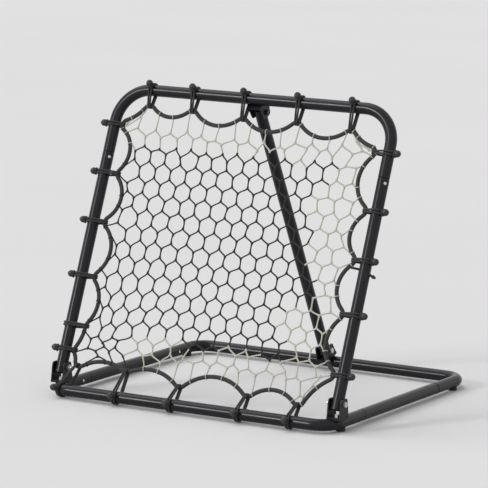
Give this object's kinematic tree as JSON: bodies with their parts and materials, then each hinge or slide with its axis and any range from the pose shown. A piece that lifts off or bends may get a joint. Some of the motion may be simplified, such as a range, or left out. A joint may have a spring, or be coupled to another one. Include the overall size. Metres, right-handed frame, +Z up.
{
  "type": "pitch back rebounder",
  "caption": "Leaning sports rebounder: a net laced on elastic ball ties in a folding tube frame with a flat base ring and a rear prop.",
  "frame": {"origin": "on the ground, at the middle of the footprint", "axes": "+X to the right as seen from the front, +Y from the front bar to the rear bar, +Z up"},
  "size_m": [0.8832, 0.7635, 0.7913],
  "materials": {
    "frame_black": "satin powder coat on steel tube",
    "bracket_black": "satin powder coat on folded steel plate",
    "zinc": "bright zinc plate",
    "spring_steel": "nickel-plated spring steel",
    "foot_rubber": "moulded rubber",
    "twine": "knotless polyester twine",
    "cord": "braided cord",
    "elastic": "woven sleeve over rubber strands",
    "ball_plastic": "moulded plastic"
  },
  "bodies": {
    "base": {"base_front_u": "frame_black", "base_rear_u": "frame_black", "base_side_left": "frame_black", "base_side_right": "frame_black", "bracket_left": "bracket_black", "bracket_right": "bracket_black", "bracket_prop": "bracket_black", "bracket_bolt_left": "zinc", "bracket_bolt_right": "zinc", "bracket_bolt_prop": "zinc", "hinge_bolt_left": "zinc", "hinge_bolt_right": "zinc", "hinge_nut_left": "zinc", "hinge_nut_right": "zinc", "foot_front_left": "foot_rubber", "foot_front_right": "foot_rubber", "foot_rear_left": "foot_rubber", "foot_rear_right": "foot_rubber", "ties_front": "elastic", "balls_front": "ball_plastic"},
    "net_frame": {"top_u": "frame_black", "leg_left": "frame_black", "leg_right": "frame_black", "bracket_top": "bracket_black", "prop_bolt": "zinc", "prop_nut": "zinc", "net": "twine", "border_cord": "cord", "ties_top": "elastic", "ties_left": "elastic", "ties_right": "elastic", "balls_top": "ball_plastic", "balls_left": "ball_plastic", "balls_right": "ball_plastic"},
    "prop": {"prop_tube": "frame_black", "prop_pin": "zinc", "prop_pin_nut": "zinc"},
    "snap_front_left": {"snap_front_left": "spring_steel"},
    "snap_front_right": {"snap_front_right": "spring_steel"},
    "snap_rear_left": {"snap_rear_left": "spring_steel"},
    "snap_rear_right": {"snap_rear_right": "spring_steel"},
    "snap_leg_left": {"snap_leg_left": "spring_steel"},
    "snap_leg_right": {"snap_leg_right": "spring_steel"}
  },
  "joints": [
    {"name": "net_frame_hinge", "type": "hinge", "parent": "base", "child": "net_frame", "pos_m": [0, -0.3016, 0.07], "axis": [1, 0, 0], "range_deg": [0, 114], "deforming": ["ties_front"]},
    {"name": "prop_hinge", "type": "hinge", "parent": "net_frame", "child": "prop", "pos_m": [0, -0.00593, 0.7278], "axis": [1, 0, 0], "range_deg": [-47.7, 0]},
    {"name": "snap_front_left_press", "type": "slide", "parent": "base", "child": "snap_front_left", "axis": [-1, 0, 0], "range_m": [0, 0.004], "stiffness_N_per_m": 1500, "springref_m": -0.001},
    {"name": "snap_front_right_press", "type": "slide", "parent": "base", "child": "snap_front_right", "axis": [1, 0, 0], "range_m": [0, 0.004], "stiffness_N_per_m": 1500, "springref_m": -0.001},
    {"name": "snap_rear_left_press", "type": "slide", "parent": "base", "child": "snap_rear_left", "axis": [-1, 0, 0], "range_m": [0, 0.004], "stiffness_N_per_m": 1500, "springref_m": -0.001},
    {"name": "snap_rear_right_press", "type": "slide", "parent": "base", "child": "snap_rear_right", "axis": [1, 0, 0], "range_m": [0, 0.004], "stiffness_N_per_m": 1500, "springref_m": -0.001},
    {"name": "snap_leg_left_press", "type": "slide", "parent": "net_frame", "child": "snap_leg_left", "axis": [-0.766, 0.5964, -0.2398], "range_m": [0, 0.004], "stiffness_N_per_m": 1500, "springref_m": -0.001},
    {"name": "snap_leg_right_press", "type": "slide", "parent": "net_frame", "child": "snap_leg_right", "axis": [-0.766, 0.5964, -0.2398], "range_m": [0, 0.004], "stiffness_N_per_m": 1500, "springref_m": -0.001}
  ],
  "couplings": [
    {"joint": "prop_hinge", "follows": "net_frame_hinge", "ratio": -0.4166}
  ]
}
